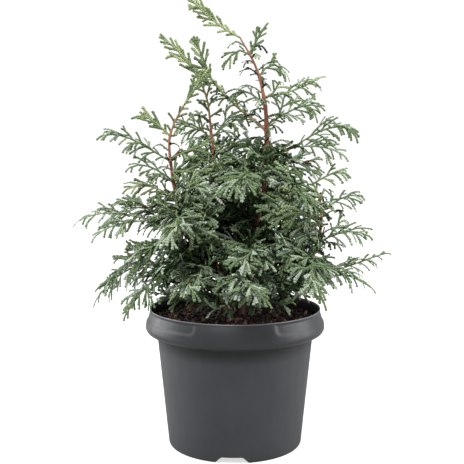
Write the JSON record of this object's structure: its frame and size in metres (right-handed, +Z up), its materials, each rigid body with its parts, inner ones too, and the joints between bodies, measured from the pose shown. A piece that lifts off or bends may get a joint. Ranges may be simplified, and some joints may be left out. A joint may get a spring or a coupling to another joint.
{
  "type": "potted sawara cypress",
  "caption": "Young sawara cypress with several leaders and loose, feathery blue-green sprays, growing in a round grey nursery pot filled with dark potting soil.",
  "frame": {"origin": "centre of the pot's underside", "axes": "+Z up along the pot's axis, -Y towards the front of the plant, +X to its right"},
  "size_m": [0.3283, 0.2616, 0.4653],
  "materials": {
    "pot_plastic": "smooth moulded dark grey polypropylene, satin",
    "peat": "damp, crumbly, dark brown",
    "bark": "thin, reddish brown, finely fissured",
    "foliage": "blue-green scale leaves with a waxy bloom",
    "tip_foliage": "yellow-green new growth"
  },
  "bodies": {
    "root": {"pot": "pot_plastic", "soil": "peat", "trunk": "bark", "left_leader": "bark", "middle_leader": "bark", "inner_leader": "bark", "right_bough": "bark", "right_leader": "bark", "right_wing_bough": "bark", "left_far_bough": "bark", "left_low_bough": "bark", "front_low_bough": "bark", "back_left_bough": "bark", "back_right_bough": "bark", "top_spray": "tip_foliage", "crown_right_top": "tip_foliage", "crown_left_top": "foliage", "crown_right_upper": "foliage", "crown_right_fan": "foliage", "crown_right_mid": "foliage", "crown_left_mid": "foliage", "right_wing_upper": "foliage", "right_wing_lower": "foliage", "right_inner_high": "foliage", "left_tip": "tip_foliage", "left_spur": "tip_foliage", "left_wing_upper": "foliage", "left_wing_mid": "foliage", "left_wing_yellow": "foliage", "left_mid_short": "foliage", "left_far": "foliage", "left_far_fork": "foliage", "left_low_mid": "foliage", "left_low_far": "foliage", "left_low_fork": "foliage", "middle_tip": "tip_foliage", "middle_left": "foliage", "middle_right": "foliage", "middle_front": "foliage", "inner_tip": "tip_foliage", "right_tip": "foliage", "right_mid": "foliage", "right_low": "foliage", "front_low_right": "foliage", "right_far": "foliage", "right_far_fork": "foliage", "front_upper": "foliage", "front_upper_right": "foliage", "front_upper_left": "foliage", "front_mid": "foliage", "front_low": "foliage", "front_low_left": "foliage", "front_right": "foliage", "back_left_low": "foliage", "back_right_low": "foliage", "back_low": "foliage", "back_mid": "foliage", "back_left_mid": "foliage", "back_right_mid": "foliage", "back_upper": "foliage"}
  },
  "joints": []
}
